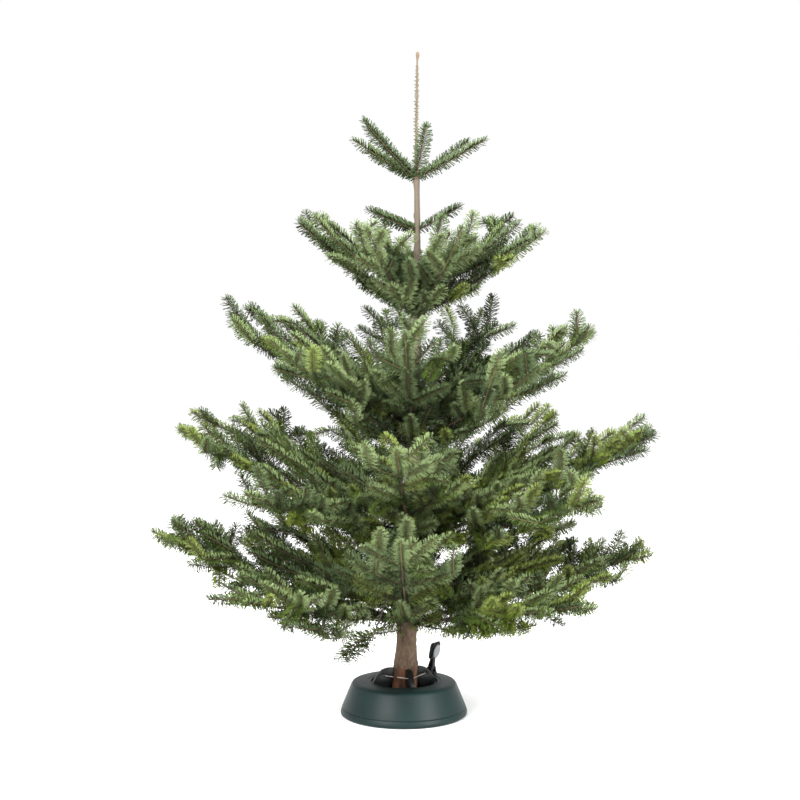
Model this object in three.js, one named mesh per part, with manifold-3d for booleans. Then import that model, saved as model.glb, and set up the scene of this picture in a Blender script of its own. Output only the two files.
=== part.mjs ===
// A cut fir, 1.98 m tall, clamped in a round plastic Christmas tree stand. Millimetres, +Z up.
// The origin is the middle of the stand's flat underside; +X is to the right and -Y is the front.
// Azimuths are in degrees, anticlockwise from +X when seen from above.
import * as THREE from "three";
import { mergeVertices } from "three/addons/utils/BufferGeometryUtils.js";
import Module from "manifold-3d";

const wasm = await Module();
wasm.setup();

const GAP = 0.5; // between pieces that touch
const rad = THREE.MathUtils.degToRad;

// ---------------------------------------------------------------- sizes

const STAND = {
  radius: 190.5,
  height: 101,
  wall: 4,
  floor: 5,
  shoulderRadius: 158,
  shoulderHeight: 93,
  topRadius: 149,
  openingRadius: 99,
  lipDepth: 12,
  segments: 32,
};

const TANK = { topRadius: 96.5, bottomRadius: 84, wall: 3, floor: 4, height: 97 };

const CLAWS = { count: 4, firstAzimuth: 16, thickness: 15, wireRadius: 67, wireHeight: 121, holeRadius: 4 };

const WIRE = { radius: 1.6, bend: 9, steps: 50, sides: 6 };

const PEDAL = {
  pivot: [84, 96, 116], // over the shell's top ring
  swingAzimuth: -36, // the way that a foot pushes it down
  lean: 12, // from upright, at rest
  pinRadius: 4,
  armWidth: 15,
  armLength: 58,
  plateWidth: 38,
  plateLength: 44,
  plateThickness: 13,
  padThickness: 3,
  earThickness: 4,
};

// The stem: height, radius and sideways lean at each station, from the cut foot to the leader's bud.
const STEM = [
  [10, 39, 0],
  [60, 38.5, 1],
  [115, 37.5, 3],
  [158, 35.5, 5],
  [188, 31.5, 7],
  [225, 29.5, 8],
  [280, 31.5, 10],
  [330, 28, 13],
  [480, 25.5, 19],
  [520, 27, 21],
  [570, 23.5, 22],
  [790, 20, 29],
  [826, 22, 31],
  [870, 18, 31],
  [1160, 14.5, 31],
  [1200, 16.5, 32],
  [1245, 11, 35],
  [1420, 9, 40],
  [1570, 8, 38],
  [1600, 10.5, 36],
  [1626, 4.8, 36],
  [1760, 3.4, 36],
  [1953, 2.6, 39],
  [1964, 5.5, 40],
  [1972, 5.2, 40],
  [1977, 2, 40],
];
const STEM_SIDES = 12;

// Whorls of boughs, top down. Each bough has its azimuth, its reach from the stem and its rise to the tip.
// bare is the length of limb before the foliage; a bough without one is foliage right from the stem.
// curl is the share of the rise that comes late. width, upper and lower size each mass of foliage.
const WHORLS = [
  {
    name: "upper",
    height: 1208,
    curl: 0.38,
    width: 310,
    upper: 88,
    lower: 40,
    boughs: [
      { azimuth: -12, reach: 391, rise: 240 },
      { azimuth: 38, reach: 355, rise: 292 },
      { azimuth: 110, reach: 320, rise: 262 },
      { azimuth: 174, reach: 350, rise: 282 },
      { azimuth: 240, reach: 275, rise: 238 },
      { azimuth: 299, reach: 275, rise: 240 },
    ],
  },
  {
    name: "middle",
    height: 826,
    curl: 0.3,
    width: 440,
    upper: 108,
    lower: 74,
    boughs: [
      { azimuth: -6, reach: 530, rise: 328 },
      { azimuth: 59, reach: 435, rise: 394 },
      { azimuth: 104, reach: 380, rise: 392 },
      { azimuth: 142, reach: 440, rise: 362 },
      { azimuth: 180, reach: 555, rise: 380, bare: 84 },
      { azimuth: 223, reach: 505, rise: 276 },
      { azimuth: 266, reach: 420, rise: 325, bare: 80 },
      { azimuth: 313, reach: 505, rise: 232, bare: 82 },
    ],
  },
  {
    name: "lower",
    height: 520,
    curl: 0.3,
    width: 500,
    upper: 108,
    lower: 66,
    boughs: [
      { azimuth: 1, reach: 730, rise: 330, bare: 112 },
      { azimuth: 42, reach: 630, rise: 366, bare: 104 },
      { azimuth: 76, reach: 560, rise: 340 },
      { azimuth: 112, reach: 570, rise: 345 },
      { azimuth: 146, reach: 640, rise: 340 },
      { azimuth: 182, reach: 690, rise: 350, bare: 114 },
      { azimuth: 220, reach: 600, rise: 190, bare: 108 },
      { azimuth: 266, reach: 560, rise: 325, bare: 100 },
      { azimuth: 321, reach: 660, rise: 174, bare: 106 },
    ],
  },
  {
    name: "bottom",
    height: 285,
    curl: 0.35,
    width: 540,
    upper: 100,
    lower: 84,
    boughs: [
      { azimuth: -2, reach: 726, rise: 214, bare: 122 },
      { azimuth: 38, reach: 640, rise: 256, bare: 112 },
      { azimuth: 92, reach: 600, rise: 205, bare: 116 },
      { azimuth: 140, reach: 660, rise: 248 },
      { azimuth: 181, reach: 768, rise: 270, bare: 126 },
      { azimuth: 219, reach: 635, rise: 138, bare: 108 },
      { azimuth: 268, reach: 560, rise: 318, bare: 106 },
      { azimuth: 318, reach: 640, rise: 122, bare: 118 },
    ],
  },
];

// Groups of single shoots, each joined by a collar of needles round the stem.
const SHOOTS = [
  {
    name: "top",
    height: 1604,
    curl: 0.25,
    girth: 21,
    collar: [1588, 1622],
    shoots: [
      { azimuth: -6, reach: 205, rise: 112 },
      { azimuth: 34, reach: 190, rise: 122 },
      { azimuth: 150, reach: 172, rise: 160 },
      { azimuth: 184, reach: 186, rise: 112 },
      { azimuth: 216, reach: 190, rise: 158 },
      { azimuth: 283, reach: 122, rise: 140 },
    ],
  },
  {
    name: "between",
    height: 1450,
    curl: 0.3,
    girth: 18,
    collar: [1434, 1470],
    shoots: [
      { azimuth: -2, reach: 128, rise: 72 },
      { azimuth: 178, reach: 154, rise: 66 },
    ],
  },
];

// The small spray that hangs from the front bough at the bottom.
const HANGING = { from: [-84, -300, 284], to: [-204, -334, 236], radius: 38 };

// ---------------------------------------------------------------- helpers

// A seeded random number from 0 to 1, the same on every run.
function seeded(seed) {
  let state = seed >>> 0;
  return () => {
    state = (state + 0x6d2b79f5) | 0;
    let mixed = Math.imul(state ^ (state >>> 15), 1 | state);
    mixed = (mixed + Math.imul(mixed ^ (mixed >>> 7), 61 | mixed)) ^ mixed;
    return ((mixed ^ (mixed >>> 14)) >>> 0) / 4294967296;
  };
}

// Rings of points, each with the same count, joined into one closed skin with a flat end at each side.
function skin(rings) {
  const sides = rings[0].length;
  const points = rings.flat();
  const faces = [];
  for (let j = 0; j < rings.length - 1; j++) {
    for (let i = 0; i < sides; i++) {
      const a = j * sides + i;
      const b = j * sides + ((i + 1) % sides);
      faces.push(a, b, b + sides, a, b + sides, a + sides);
    }
  }
  for (const [first, turn] of [[0, 1], [(rings.length - 1) * sides, 0]]) {
    for (let i = 1; i < sides - 1; i++) {
      faces.push(first, first + i + turn, first + i + 1 - turn);
    }
  }
  const geometry = new THREE.BufferGeometry().setFromPoints(points);
  geometry.setIndex(faces);
  return geometry;
}

function toSolid(geometry) {
  const bare = geometry.clone();
  bare.deleteAttribute("normal");
  bare.deleteAttribute("uv");
  const merged = mergeVertices(bare, 1e-3);
  const mesh = new wasm.Mesh({
    numProp: 3,
    vertProperties: merged.attributes.position.array,
    triVerts: new Uint32Array(merged.index.array),
  });
  return new wasm.Manifold(mesh);
}

function toGeometry(solid) {
  const mesh = solid.getMesh();
  const geometry = new THREE.BufferGeometry();
  geometry.setAttribute("position", new THREE.BufferAttribute(mesh.vertProperties, 3));
  geometry.setIndex(new THREE.BufferAttribute(mesh.triVerts, 1));
  geometry.computeVertexNormals();
  return geometry;
}

// A turned body from a profile of [radius, height] points, with its axis along +Z.
function turned(profile, segments) {
  const points = profile.map(([radius, height]) => new THREE.Vector2(radius, height));
  return new THREE.LatheGeometry(points, segments).rotateX(Math.PI / 2);
}

// A flat outline of [across, up] points, extruded evenly to both sides of its plane.
function plate(outline, thickness, hole) {
  const shape = new THREE.Shape(outline.map(([x, y]) => new THREE.Vector2(x, y)));
  if (hole) {
    shape.holes.push(new THREE.Path().absarc(hole.x, hole.y, hole.radius, 0, 2 * Math.PI, true));
  }
  const depth = { depth: thickness, bevelEnabled: false, curveSegments: 5 };
  const geometry = new THREE.ExtrudeGeometry(shape, depth);
  return geometry.translate(0, 0, -thickness / 2);
}

// Turns an upright plate so that its own x points along an azimuth and its own y points up.
function standUp(geometry, azimuth) {
  return geometry.rotateX(Math.PI / 2).rotateZ(rad(azimuth));
}

// ---------------------------------------------------------------- materials

const colours = {
  bark: new THREE.MeshStandardMaterial({ color: 0x7d6a5b, roughness: 0.9, metalness: 0 }),
  needles: new THREE.MeshStandardMaterial({ color: 0x52663d, roughness: 0.6, metalness: 0 }),
  greenPlastic: new THREE.MeshStandardMaterial({ color: 0x3d5351, roughness: 0.5, metalness: 0 }),
  blackPlastic: new THREE.MeshStandardMaterial({ color: 0x17181a, roughness: 0.5, metalness: 0 }),
  greyRubber: new THREE.MeshStandardMaterial({ color: 0xb4b8ba, roughness: 0.7, metalness: 0 }),
  steel: new THREE.MeshStandardMaterial({ color: 0xb0aca8, roughness: 0.35, metalness: 1 }),
};

const tree = new THREE.Group();

function addPiece(name, geometry, material, parent = tree) {
  const mesh = new THREE.Mesh(geometry, material);
  mesh.name = name;
  parent.add(mesh);
  return mesh;
}

// ---------------------------------------------------------------- stand

// The green shell: a truncated cone with a closed floor, a rounded shoulder and a round opening on top.
function standShell() {
  const s = STAND;
  const inner = s.wall;
  return turned(
    [
      [0, 0],
      [s.radius - 5, 0],
      [s.radius - 1, 3],
      [s.radius, 9],
      [s.radius - 3.5, 21],
      [s.shoulderRadius, s.shoulderHeight],
      [s.shoulderRadius - 3, s.height - 3],
      [s.topRadius, s.height],
      [s.openingRadius + 2, s.height],
      [s.openingRadius, s.height - 2],
      [s.openingRadius, s.height - s.lipDepth],
      [s.openingRadius + inner, s.height - s.lipDepth],
      [s.openingRadius + inner, s.height - inner],
      [s.topRadius - inner, s.height - inner],
      [s.shoulderRadius - inner - 1, s.shoulderHeight - 1],
      [s.radius - inner - 3, s.floor + 3],
      [s.radius - inner - 6, s.floor],
      [0, s.floor],
    ],
    s.segments,
  );
}

// The bracket moulded on the shell's top ring: a foot, two ears and the pin that the pedal turns on.
function pedalBracket() {
  const p = PEDAL;
  const [x, y, z] = p.pivot;
  const bottom = STAND.height - 2 - z;
  const ear = [
    [-11, bottom],
    [11, bottom],
    [9, 4],
    [4, 8],
    [-4, 8],
    [-9, 4],
  ];
  const foot = [
    [-13, bottom],
    [13, bottom],
    [13, bottom + 5],
    [-13, bottom + 5],
  ];
  const offset = p.armWidth / 2 + 1 + p.earThickness / 2;
  const pieces = [-offset, offset].map((side) => plate(ear, p.earThickness).translate(0, 0, side));
  pieces.push(plate(foot, 2 * offset + p.earThickness));
  const pin = new THREE.CylinderGeometry(p.pinRadius, p.pinRadius, 2 * offset + p.earThickness, 10);
  pieces.push(pin.rotateX(Math.PI / 2));
  return pieces
    .map((piece) => toSolid(standUp(piece, p.swingAzimuth).translate(x, y, z)))
    .reduce((all, piece) => all.add(piece));
}

// The two lugs on the tank's wall that a claw hangs between.
function clawLugs(azimuth) {
  const lug = [
    [84, 52],
    [92, 52],
    [95, 96],
    [84, 96],
  ];
  const offset = CLAWS.thickness / 2 + 3;
  return [-offset, offset].map((side) => toSolid(standUp(plate(lug, 4).translate(0, 0, side), azimuth)));
}

// The black water tank inside the shell.
function standTank() {
  const t = TANK;
  const foot = STAND.floor + GAP;
  const bowl = turned(
    [
      [0, foot],
      [t.bottomRadius, foot],
      [t.topRadius, t.height],
      [t.topRadius - t.wall, t.height],
      [t.bottomRadius - t.wall, foot + t.floor],
      [0, foot + t.floor],
    ],
    STAND.segments,
  );
  return clawAzimuths()
    .flatMap(clawLugs)
    .reduce((all, piece) => all.add(piece), toSolid(bowl));
}

function clawAzimuths() {
  return Array.from({ length: CLAWS.count }, (_, i) => CLAWS.firstAzimuth + (i * 360) / CLAWS.count);
}

// One claw: a fin that leans in from the tank's rim and presses on the stem, with an eye for the wire.
function claw(azimuth, stem) {
  const outline = [
    [66, 30],
    [80, 30],
    [86, 72],
    [90, 98],
    [97, 101],
    [84, 122],
    [68, 137],
    [52, 142],
    [30, 142],
    [30, 112],
    [44, 96],
    [58, 54],
  ];
  const eye = { x: CLAWS.wireRadius, y: CLAWS.wireHeight, radius: CLAWS.holeRadius };
  const solid = toSolid(standUp(plate(outline, CLAWS.thickness, eye), azimuth));
  return toGeometry(solid.subtract(stem));
}

// The wire: a closed loop that runs straight from claw to claw and through each claw's eye.
function wireLoop() {
  const points = [];
  for (const azimuth of clawAzimuths().map(rad)) {
    const out = new THREE.Vector3(Math.cos(azimuth), Math.sin(azimuth), 0);
    const along = new THREE.Vector3(-out.y, out.x, 0);
    for (const side of [-WIRE.bend, 0, WIRE.bend]) {
      const inward = CLAWS.wireRadius - Math.abs(side) * 0.28;
      points.push(out.clone().multiplyScalar(inward).addScaledVector(along, side).setZ(CLAWS.wireHeight));
    }
  }
  const path = new THREE.CatmullRomCurve3(points, true, "catmullrom", 0.1);
  return new THREE.TubeGeometry(path, WIRE.steps, WIRE.radius, WIRE.sides, true);
}

// The pedal, made upright about its pivot: an arm with a bored hub and a wide foot plate.
function pedalArm() {
  const p = PEDAL;
  const arm = [
    [-7, -7],
    [7, -7],
    [8, 4],
    [5, 34],
    [6, p.armLength],
    [-6, p.armLength],
    [-6, 30],
    [-9, 6],
  ];
  const foot = [
    [-5, 34],
    [3, 34],
    [p.plateThickness / 2 + 1, 44],
    [p.plateThickness / 2, 34 + p.plateLength],
    [0, 34 + p.plateLength + 8],
    [-p.plateThickness / 2, 34 + p.plateLength],
    [-p.plateThickness / 2, 48],
  ];
  const hub = { x: 0, y: 0, radius: p.pinRadius + 1 };
  return toGeometry(toSolid(plate(arm, p.armWidth, hub)).add(toSolid(plate(foot, p.plateWidth))));
}

// The grey pad on the outer face of the foot plate.
function pedalPad() {
  const p = PEDAL;
  const radius = p.plateWidth / 2 - 2;
  const pad = new THREE.CylinderGeometry(radius, radius, p.padThickness, 16);
  pad.rotateZ(Math.PI / 2).scale(1, 1.28, 1);
  return pad.translate(p.plateThickness / 2 + 1 + p.padThickness / 2 + GAP, 34 + p.plateLength / 2 + 2, 0);
}

function addPedal() {
  const group = new THREE.Group();
  const lean = -rad(PEDAL.lean);
  const upright = new THREE.Matrix4().makeRotationX(Math.PI / 2);
  const swing = new THREE.Matrix4().makeRotationZ(rad(PEDAL.swingAzimuth));
  const tilt = new THREE.Matrix4().makeRotationZ(lean);
  group.applyMatrix4(tilt.premultiply(upright).premultiply(swing).setPosition(...PEDAL.pivot));
  addPiece("pedal_arm", pedalArm(), colours.blackPlastic, group);
  addPiece("pedal_pad", pedalPad(), colours.greyRubber, group);
  tree.add(group);
}

// ---------------------------------------------------------------- stem, boughs and foliage

// The stem's skin, grown by a margin where it is used to cut its neighbours.
function stemSkin(margin = 0) {
  const rings = STEM.map(([height, radius, lean]) =>
    Array.from({ length: STEM_SIDES }, (_, i) => {
      const turn = (2 * Math.PI * i) / STEM_SIDES;
      const out = radius + margin;
      return new THREE.Vector3(lean + out * Math.cos(turn), out * Math.sin(turn), height);
    }),
  );
  return skin(rings);
}

function stemLean(height) {
  const above = STEM.findIndex(([z]) => z >= height);
  const [z0, , x0] = STEM[above - 1];
  const [z1, , x1] = STEM[above];
  return THREE.MathUtils.lerp(x0, x1, (height - z0) / (z1 - z0));
}

// A bough's own axes and its line, which rises faster towards the tip.
function boughLine({ azimuth, reach, rise }, { height, curl }) {
  const turn = rad(azimuth);
  const out = new THREE.Vector3(Math.cos(turn), Math.sin(turn), 0);
  const across = new THREE.Vector3(-out.y, out.x, 0);
  const root = new THREE.Vector3(stemLean(height), 0, height);
  const at = (distance) => {
    const share = distance / reach;
    const point = root.clone().addScaledVector(out, distance);
    point.z += rise * ((1 - curl) * share + curl * share * share);
    return point;
  };
  return { out, across, at };
}

const BOUGH = { sides: 6, rings: 3, rootRadius: 0.34, taper: 0.35 };

// The bare limb from the stem to the foliage, cut to the stem's surface.
function boughSolid(bough, whorl, stem, stemRadius) {
  const line = boughLine(bough, whorl);
  const thick = BOUGH.rootRadius * stemRadius;
  const first = 0.4 * stemRadius;
  const rings = [];
  for (let j = 0; j <= BOUGH.rings; j++) {
    const share = j / BOUGH.rings;
    const middle = line.at(first + (bough.bare - GAP - first) * share);
    const radius = thick * (1 - BOUGH.taper * share);
    rings.push(
      Array.from({ length: BOUGH.sides }, (_, i) => {
        const turn = (2 * Math.PI * i) / BOUGH.sides;
        return middle.clone().addScaledVector(line.across, radius * Math.cos(turn)).setZ(
          middle.z + radius * Math.sin(turn),
        );
      }),
    );
  }
  const pieces = toSolid(skin(rings)).subtract(stem).decompose();
  return pieces.reduce((best, piece) => (piece.volume() > best.volume() ? piece : best));
}

const FOLIAGE = {
  sides: 8,
  rings: 8,
  sectorGap: 3,
  stemGap: 10,
  roughness: 0.16,
  width: [0.45, 0.7, 0.9, 1, 1, 0.95, 0.82, 0.62, 0.32],
  upper: [0.9, 1.2, 1.3, 1.25, 1.15, 1.05, 0.95, 0.8, 0.4],
  lower: [0.5, 0.75, 0.95, 1.05, 1, 0.95, 0.85, 0.7, 0.45],
};

// One mass of foliage. limits are the slopes of the planes that part it from the masses on either side.
function foliageSkin(bough, whorl, seed, limits) {
  const random = seeded(seed);
  const line = boughLine(bough, whorl);
  const first = bough.bare ? bough.bare + GAP : stemRadiusAt(whorl.height) + FOLIAGE.stemGap;
  const uneven = () => 1 + FOLIAGE.roughness * (2 * random() - 1);
  const rings = [];
  for (let j = 0; j <= FOLIAGE.rings; j++) {
    const share = j / FOLIAGE.rings;
    const distance = first + (bough.reach - first) * share;
    const middle = line.at(distance);
    const half = limits.map((slope) =>
      Math.min((whorl.width / 2) * FOLIAGE.width[j] * uneven(), distance * slope - FOLIAGE.sectorGap),
    );
    const depth = ["upper", "lower"].map((side) => whorl[side] * FOLIAGE[side][j] * uneven());
    rings.push(
      Array.from({ length: FOLIAGE.sides }, (_, i) => {
        const turn = (2 * Math.PI * i) / FOLIAGE.sides;
        const sideways = Math.cos(turn) * half[Math.cos(turn) > 0 ? 0 : 1];
        const upward = Math.sin(turn) * depth[Math.sin(turn) > 0 ? 0 : 1];
        return middle.clone().addScaledVector(line.across, sideways).setZ(middle.z + upward);
      }),
    );
  }
  return skin(rings);
}

// The slopes of the planes halfway to the neighbours on the left and the right of each bough.
function sectorLimits(boughs, index) {
  const widest = 62;
  const turnTo = (other) => (((other.azimuth - boughs[index].azimuth) % 360) + 360) % 360;
  const others = boughs.filter((_, i) => i !== index);
  const left = Math.min(...others.map(turnTo)) / 2;
  const right = (360 - Math.max(...others.map(turnTo))) / 2;
  return [left, right].map((half) => Math.tan(rad(Math.min(half, widest))));
}

// One shoot of the crown's top: a thin spindle of needles from the stem to its tip.
function shootSolid(shoot, group) {
  const line = boughLine(shoot, group);
  const shares = [0, 0.3, 0.75, 1];
  const girths = [0.7, 1, 0.9, 0.3];
  const sides = 6;
  const rings = shares.map((share, j) =>
    Array.from({ length: sides }, (_, i) => {
      const turn = (2 * Math.PI * i) / sides;
      const radius = group.girth * girths[j];
      const point = line.at(3 + (shoot.reach - 3) * share);
      point.addScaledVector(line.across, radius * Math.cos(turn));
      return point.setZ(point.z + radius * Math.sin(turn));
    }),
  );
  return toSolid(skin(rings));
}

// A group of shoots and the collar of needles that joins them, with the stem cut out of the middle.
function shootGroup(group, stem) {
  const [bottom, top] = group.collar;
  const collar = new THREE.CylinderGeometry(group.girth, group.girth, top - bottom, 10);
  collar.rotateX(Math.PI / 2).translate(stemLean(group.height), 0, (top + bottom) / 2);
  return group.shoots
    .map((shoot) => shootSolid(shoot, group))
    .reduce((all, piece) => all.add(piece), toSolid(collar))
    .subtract(stem);
}

// The hanging spray: a tapered body from its root down to its tip.
function hangingSpray() {
  const { from, to, radius } = HANGING;
  const [root, tip] = [from, to].map((point) => new THREE.Vector3(...point));
  const shares = [0, 0.3, 0.7, 1];
  const girths = [0.4, 0.9, 1, 0.35];
  const sides = 7;
  const rings = shares.map((share, j) =>
    Array.from({ length: sides }, (_, i) => {
      const turn = (2 * Math.PI * i) / sides;
      const point = root.clone().lerp(tip, share);
      point.y += 0.8 * radius * girths[j] * Math.cos(turn);
      point.z -= radius * girths[j] * Math.sin(turn);
      return point;
    }),
  );
  return skin(rings);
}

function stemRadiusAt(height) {
  return STEM.reduce((best, station) =>
    Math.abs(station[0] - height) < Math.abs(best[0] - height) ? station : best,
  )[1];
}

function addTree() {
  const stem = toSolid(stemSkin(GAP));
  addPiece("trunk", stemSkin(), colours.bark);
  WHORLS.forEach((whorl, tier) => {
    whorl.boughs.forEach((bough, index) => {
      const label = `${whorl.name}_${index + 1}`;
      if (bough.bare) {
        const limb = boughSolid(bough, whorl, stem, stemRadiusAt(whorl.height));
        addPiece(`bough_${label}`, toGeometry(limb), colours.bark);
      }
      const limits = sectorLimits(whorl.boughs, index);
      addPiece(`foliage_${label}`, foliageSkin(bough, whorl, 100 * tier + index, limits), colours.needles);
    });
  });
  for (const group of SHOOTS) {
    addPiece(`foliage_${group.name}`, toGeometry(shootGroup(group, stem)), colours.needles);
  }
  addPiece("foliage_hanging", hangingSpray(), colours.needles);
}

function addStand() {
  const stem = toSolid(stemSkin(GAP));
  addPiece("stand_shell", toGeometry(toSolid(standShell()).add(pedalBracket())), colours.greenPlastic);
  addPiece("stand_tank", toGeometry(standTank()), colours.blackPlastic);
  clawAzimuths().forEach((azimuth, index) => {
    addPiece(`claw_${index + 1}`, claw(azimuth, stem), colours.blackPlastic);
  });
  addPiece("wire_loop", wireLoop(), colours.steel);
  addPedal();
}

addTree();
addStand();

export default tree;
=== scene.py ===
"""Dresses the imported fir: bark relief on its stem, limbs, twigs and needles that grow through each mass of
foliage, and a finished stand. Everything is in metres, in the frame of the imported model, with +Z up and -Y
in front."""

import math
import random

import bmesh
import bpy
import numpy as np
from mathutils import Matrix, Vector, noise


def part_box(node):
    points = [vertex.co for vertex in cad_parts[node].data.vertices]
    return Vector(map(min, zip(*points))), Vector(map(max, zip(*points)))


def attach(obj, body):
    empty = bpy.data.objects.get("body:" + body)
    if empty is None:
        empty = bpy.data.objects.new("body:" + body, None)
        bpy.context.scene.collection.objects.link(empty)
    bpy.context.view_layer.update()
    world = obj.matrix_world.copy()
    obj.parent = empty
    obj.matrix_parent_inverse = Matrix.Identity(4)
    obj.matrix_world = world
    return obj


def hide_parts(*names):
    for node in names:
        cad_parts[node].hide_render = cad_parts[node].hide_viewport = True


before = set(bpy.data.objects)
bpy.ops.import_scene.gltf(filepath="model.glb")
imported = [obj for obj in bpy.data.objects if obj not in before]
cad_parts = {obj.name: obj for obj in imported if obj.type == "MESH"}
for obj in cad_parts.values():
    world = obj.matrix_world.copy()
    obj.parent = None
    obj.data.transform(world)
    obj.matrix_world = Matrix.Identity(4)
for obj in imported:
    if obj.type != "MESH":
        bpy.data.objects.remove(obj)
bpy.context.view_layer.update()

UP = Vector((0, 0, 1))

# ---------------------------------------------------------------- sizes

NEEDLE_LENGTH = 0.028
NEEDLE_WIDTH = 0.0028
NEEDLE_RISE = 0.00035  # how far the needle's corners stand off its middle plane
NEEDLES_PER_METRE = 1270
YEAR_GROWTH = 0.16  # the length of a strong shoot
SHORTEST_SHOOT = 0.035
LONGEST_REACH = 0.26  # how far a filling limb may run from the wood that bears it
FILL_SPACING = 0.052  # a place farther than this from any needles gets a limb of its own
FILL_TRIES = 1200
WOOD_DEPTH_BELOW = 0.7  # the share of a mass's depth below its line that wood may reach: needles hang lower
SHOOT_STEPS = 3
TWIG_RADIUS = 0.0016
BOUGH_TAPER = 0.62
BARE_LENGTH = 0.16  # weak shoots grow on a bough only beyond this distance from the stem
TOP_SHOOTS_AT = 1.606
BETWEEN_SHOOTS_AT = 1.453
LEADER_NEEDLES = (1.63, 1.935)  # the heights between which the leader bears short needles

PEDAL_PIVOT = (0.084, 0.096, 0.116)
PEDAL_AZIMUTH = -36
CLAW_COUNT = 4
FIRST_CLAW = 16
SHARP_ANGLE = 35  # edges sharper than this are rounded


# ---------------------------------------------------------------- reading the frame


def vertices(node):
    """The distinct vertices of a CAD node, as rows of an array."""
    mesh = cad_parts[node].data
    co = np.empty(len(mesh.vertices) * 3)
    mesh.vertices.foreach_get("co", co)
    return np.unique(co.reshape(-1, 3).round(5), axis=0)


def groups(values, gap):
    """Index lists of the values that lie within a gap of one another, in rising order."""
    order = np.argsort(values)
    cuts = np.flatnonzero(np.diff(values[order]) > gap) + 1
    return np.split(order, cuts)


class Stem:
    """The stem's middle line and radius by height."""

    def __init__(self):
        points = vertices("trunk")
        rings = groups(points[:, 2], 0.0004)
        self.z = np.array([points[r, 2].mean() for r in rings])
        self.x = np.array([points[r, 0].mean() for r in rings])
        self.radius = np.array([np.ptp(points[r, 0]) / 2 for r in rings])

    def point(self, z):
        return Vector((float(np.interp(z, self.z, self.x)), 0, z))


class Envelope:
    """A mass of foliage in its own axes: u out from the stem, v across, and w up from its middle line."""

    def __init__(self, node, stem):
        co = vertices(node)
        away = np.hypot(co[:, 0] - 0.02, co[:, 1])
        tip = co[np.argsort(away)[-8:], :2]
        spread = np.linalg.svd(tip - tip.mean(0))[2][0]
        out = np.array([-spread[1], spread[0]])
        out *= np.sign(out @ tip.mean(0))
        self.out = Vector((*out, 0))
        self.across = UP.cross(self.out)
        root = np.array([0.02, 0])
        for _ in range(3):
            u = (co[:, :2] - root) @ out
            v = (co[:, :2] - root) @ np.array(self.across[:2])
            self.read_rings(co, u, v)
            root[0] = stem.point(self.line_z(0)).x
        self.root = Vector((root[0], 0, self.line_z(0)))

    def read_rings(self, co, u, v):
        rings = groups(u, 0.004)
        self.u = [float(u[r].mean()) for r in rings]
        self.right = [float(v[r].max()) for r in rings]
        self.left = [float(-v[r].min()) for r in rings]
        middle = [float(co[r[np.argmax(v[r])], 2]) for r in rings]
        self.above = [float(co[r, 2].max()) - m for r, m in zip(rings, middle)]
        self.below = [m - float(co[r, 2].min()) for r, m in zip(rings, middle)]
        self.curve = np.polyfit(self.u, middle, 2)
        self.reach = self.u[-1]

    def line_z(self, u):
        return float(self.curve[0] * u * u + self.curve[1] * u + self.curve[2])

    def place(self, u, v=0.0, w=0.0):
        """The world point at u, with v and w as shares of the half width and depth there."""
        side = self.share(self.right if v > 0 else self.left, u)
        depth = self.share(self.above if w > 0 else self.below, u)
        point = self.root + self.out * u + self.across * (v * side)
        point.z = self.line_z(u) + w * depth
        return point

    def share(self, values, u):
        first, last = self.u[0], self.u[-1]
        step = (last - first) / (len(self.u) - 1)
        at = min(max((u - first) / step, 0), len(self.u) - 1.001)
        i = int(at)
        return values[i] + (values[i + 1] - values[i]) * (at - i)

    def inside(self, point):
        q = point - self.root
        u = q.dot(self.out)
        v = q.dot(self.across)
        if u > self.reach or u < 0:
            return False
        w = point.z - self.line_z(u)
        half = self.share(self.right if v > 0 else self.left, u)
        depth = self.share(self.above, u) if w > 0 else self.share(self.below, u) * WOOD_DEPTH_BELOW
        return (v / half) ** 2 + (w / depth) ** 2 < 1

    def room(self, point, direction, limit):
        """How far a shoot can run from a point before it leaves the mass."""
        step = 0.014
        run = 0.0
        while run < limit and self.inside(point + direction * (run + step)):
            run += step
        return run


# ---------------------------------------------------------------- growth


class Shoot:
    """One year's length of wood: its points, end radii, years, upper side and the spray it is in."""

    def __init__(self, points, radii, age, up, spray):
        self.points = points
        self.radii = radii
        self.age = age
        self.up = up
        self.spray = spray


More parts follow.
